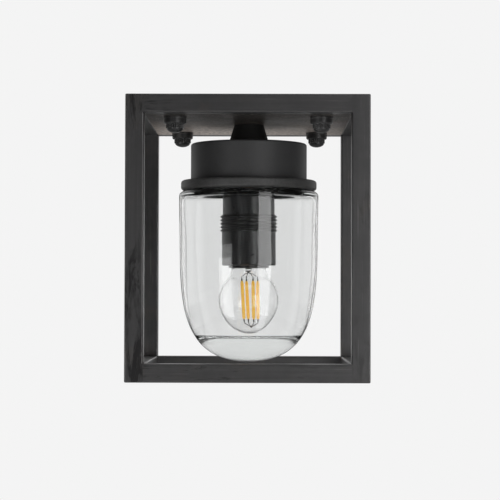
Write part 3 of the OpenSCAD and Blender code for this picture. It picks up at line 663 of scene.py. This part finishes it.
stem_points = [(0.0, SHELL_BOTTOM + 5.4), (BULB_TOP_R - BULB_WALL, SHELL_BOTTOM + 5.4),
               (BULB_TOP_R - BULB_WALL, SHELL_BOTTOM + 4.4)]
stem_points += spline([(7.6, SHELL_BOTTOM + 3.0), (5.0, SHELL_BOTTOM + 0.5), (3.4, SKIRT_BOTTOM - 0.6),
                       (2.5, SKIRT_BOTTOM - 2.2), (2.5, STEM_BOTTOM + 1.2), (1.7, STEM_BOTTOM + 0.3)], 6)
stem_points += [(0.9, STEM_BOTTOM + 0.04), (0.0, STEM_BOTTOM)]
add_piece("bulb_stem_glass", lathe("bulb_stem_glass", in_metres(stem_points), 64, False),
          "bulb_glass", "bulb", "bulb_glass", "bulb_stem")


def fil_points(i):
    """Upper and lower end of filament i in mm, as in the CAD."""
    ends = []
    for spread, angle, shift, z in zip(FIL_SPREAD, FIL_ANGLE, FIL_SHIFT, (FIL_TOP, FIL_TOP - FIL_LENGTH)):
        turn = math.radians(angle + 360 / FIL_COUNT * i)
        ends.append(Vector((shift + spread * math.cos(turn), spread * math.sin(turn), z)))
    return ends


def tube(bm, path, radii, sides=12):
    """A closed round tube through the points, with its own radius at each."""
    rings = []
    for i, p in enumerate(path):
        ahead = (path[min(i + 1, len(path) - 1)] - path[max(i - 1, 0)]).normalized()
        side = ahead.cross(Vector((0.3, 1, 0.2))).normalized()
        up = ahead.cross(side)
        ring = []
        for s in range(sides):
            turn = TAU * s / sides
            ring.append(bm.verts.new((p + (side * math.cos(turn) + up * math.sin(turn)) * radii[i]) * MM))
        rings.append(ring)
    for a, b in zip(rings, rings[1:]):
        for s in range(sides):
            n = (s + 1) % sides
            bm.faces.new((a[s], a[n], b[n], b[s]))
    bm.faces.new(rings[0])
    bm.faces.new(rings[-1])


def filament_mesh():
    bm = bmesh.new()
    for i in range(FIL_COUNT):
        top, end = fil_points(i)
        path, radii = [], []
        for k in range(FIL_STEPS + 1):
            u = k / FIL_STEPS
            path.append(top + (end - top) * (0.04 + 0.92 * u))
            taper = min(1.0, 0.55 + 9 * min(u, 1 - u))
            radii.append(FIL_R * taper * (1 + 0.05 * math.sin(k * 2.4 + i)))
        tube(bm, path, radii)
    return finish_mesh(bm, "filament_strips")


def wire_mesh():
    """A metal cap on each filament's ends, with wires from the caps up to the stem and down to a knot."""
    bm = bmesh.new()
    knot = Vector((FIL_SHIFT[1], 0, FIL_TOP - FIL_LENGTH - 3.6))
    root = Vector((0, 0, STEM_BOTTOM - 0.4))
    for i in range(FIL_COUNT):
        top, end = fil_points(i)
        axis = (end - top).normalized()
        tube(bm, [top + axis * k for k in (-0.5, 0.3, 1.5)], [0.42, 0.55, 0.5], 8)
        tube(bm, [end - axis * k for k in (1.5, 0.3, -0.5)], [0.5, 0.55, 0.42], 8)
        bend = (root + top) / 2 + Vector((0, 0, 1.4))
        upper = [root, bend * 0.6 + root * 0.4, bend, top - axis * 1.4, top + axis * 0.2]
        tube(bm, upper, [WIRE_R] * len(upper), 8)
        low = (knot + end) / 2 + Vector((0, 0, -0.5))
        lower = [end - axis * 0.2, end + axis * 1.2, low, knot]
        tube(bm, lower, [WIRE_R] * len(lower), 8)
    tube(bm, [knot + Vector((0, 0, h)) for h in (0.6, 0.2, -0.3, -0.6)], [0.2, 0.5, 0.5, 0.2], 10)
    tube(bm, [root + Vector((0, 0, h)) for h in (0.3, -0.1, -0.4)], [0.7, 0.9, 0.5], 12)
    return finish_mesh(bm, "support_wire_set")


add_piece("filament_strips", filament_mesh(), "filament", "bulb", "filament", "filaments")
add_piece("support_wire_set", wire_mesh(), "wire", "bulb", "wire", "support_wires")

# --------------------------------------------------------------------------------------
# Floor, world and lights
# --------------------------------------------------------------------------------------
FLOOR_Z = -1.3
FLOOR_R = 0.5
FLOOR_RINGS = 10
FLOOR_GLOW = 0.5
WHITE = 0.905

# The room's tones, each with the direction where it starts: 0 is to the front and 1 to the back
ROOM_FRONT, ROOM_FRONT_AT = 0.06, 0.58
ROOM_BACK, ROOM_BACK_AT = 0.90, 0.92
BEHIND_FROM, BEHIND_TO = 0.44, 0.56


def stage_floor():
    """A pale floor, far below the lantern, paler to the eye than to the light."""
    rings = [(FLOOR_R * 1.35 ** i, FLOOR_Z) for i in range(FLOOR_RINGS)]
    mesh = lathe("floor", [(0.0, FLOOR_Z)] + rings, 64, False)
    obj = bpy.data.objects.new("floor", mesh)
    bpy.context.scene.collection.objects.link(obj)
    t = Tree("floor_look")
    t.colour(t.ramp(t.noise(3, 4), [(0.3, 0.80), (0.7, 0.84)]))
    t.rough(t.ramp(t.noise(9, 3), [(0.3, 0.75), (0.7, 0.9)]))
    t.set(emission_color=(1, 1, 1, 1))
    seen = t.nodes.new("ShaderNodeLightPath").outputs["Is Camera Ray"]
    t.link(t.math("MULTIPLY", seen, FLOOR_GLOW), t.shader.inputs["Emission Strength"])
    mesh.materials.append(t.material)


stage_floor()


def studio_world():
    """A white backdrop to the eye and behind glass. As light and in reflections it is dim in front."""
    world = bpy.data.worlds.new("world")
    world.use_nodes = True
    bpy.context.scene.world = world
    nodes, link = world.node_tree.nodes, world.node_tree.links.new
    background = next(n for n in nodes if n.type == "BACKGROUND")
    paths = nodes.new("ShaderNodeLightPath")
    coords = nodes.new("ShaderNodeTexCoord")
    split = nodes.new("ShaderNodeSeparateXYZ")
    link(coords.outputs["Generated"], split.inputs[0])
    room = nodes.new("ShaderNodeValToRGB")
    stops = room.color_ramp.elements
    stops[0].position, stops[0].color = ROOM_FRONT_AT, (*(ROOM_FRONT,) * 3, 1)
    stops[1].position, stops[1].color = ROOM_BACK_AT, (*(ROOM_BACK,) * 3, 1)
    backward = nodes.new("ShaderNodeMath")
    backward.operation = "MULTIPLY_ADD"
    backward.inputs[1].default_value = 0.5
    backward.inputs[2].default_value = 0.5
    link(split.outputs["Y"], backward.inputs[0])
    link(backward.outputs[0], room.inputs["Fac"])
    behind = nodes.new("ShaderNodeValToRGB")
    behind.color_ramp.elements[0].position = BEHIND_FROM
    behind.color_ramp.elements[1].position = BEHIND_TO
    link(backward.outputs[0], behind.inputs["Fac"])
    through = nodes.new("ShaderNodeMath")
    through.operation = "MULTIPLY"
    link(paths.outputs["Is Transmission Ray"], through.inputs[0])
    link(behind.outputs["Color"], through.inputs[1])
    direct = nodes.new("ShaderNodeMath")
    direct.operation = "MAXIMUM"
    link(paths.outputs["Is Camera Ray"], direct.inputs[0])
    link(through.outputs[0], direct.inputs[1])
    tone = nodes.new("ShaderNodeMix")
    tone.data_type = "RGBA"
    colours = [s for s in tone.inputs if s.type == "RGBA"]
    link(room.outputs["Color"], colours[0])
    colours[1].default_value = (WHITE, WHITE, WHITE, 1)
    link(direct.outputs[0], tone.inputs["Factor"])
    link(next(s for s in tone.outputs if s.type == "RGBA"), background.inputs["Color"])
    background.inputs["Strength"].default_value = 1.0


studio_world()
CENTRE = Vector((0, 0, -0.1))


def soft_light(name, at, width, height, power):
    """A rectangular softbox at a place, turned towards the lantern."""
    data = bpy.data.lights.new(name, "AREA")
    data.shape = "RECTANGLE"
    data.size, data.size_y = width, height
    data.energy = power
    obj = bpy.data.objects.new(name, data)
    obj.location = at
    obj.rotation_euler = (CENTRE - Vector(at)).to_track_quat("-Z", "Y").to_euler()
    bpy.context.scene.collection.objects.link(obj)


def around(azimuth, distance, height):
    """A place at an angle to the right of the camera's side."""
    angle = math.radians(azimuth)
    return (distance * math.sin(angle), -distance * math.cos(angle), height)


# The softboxes stand where the photo's reflections on the jar put them
soft_light("softbox_right", around(27, 1.9, -0.32), width=0.7, height=1.7, power=12.5)
soft_light("softbox_left", around(-39, 1.7, -0.69), width=0.7, height=1.12, power=8)
soft_light("overhead", (0.2, -0.6, 1.6), width=1.6, height=1.6, power=12)

bpy.context.scene.view_settings.view_transform = "Standard"
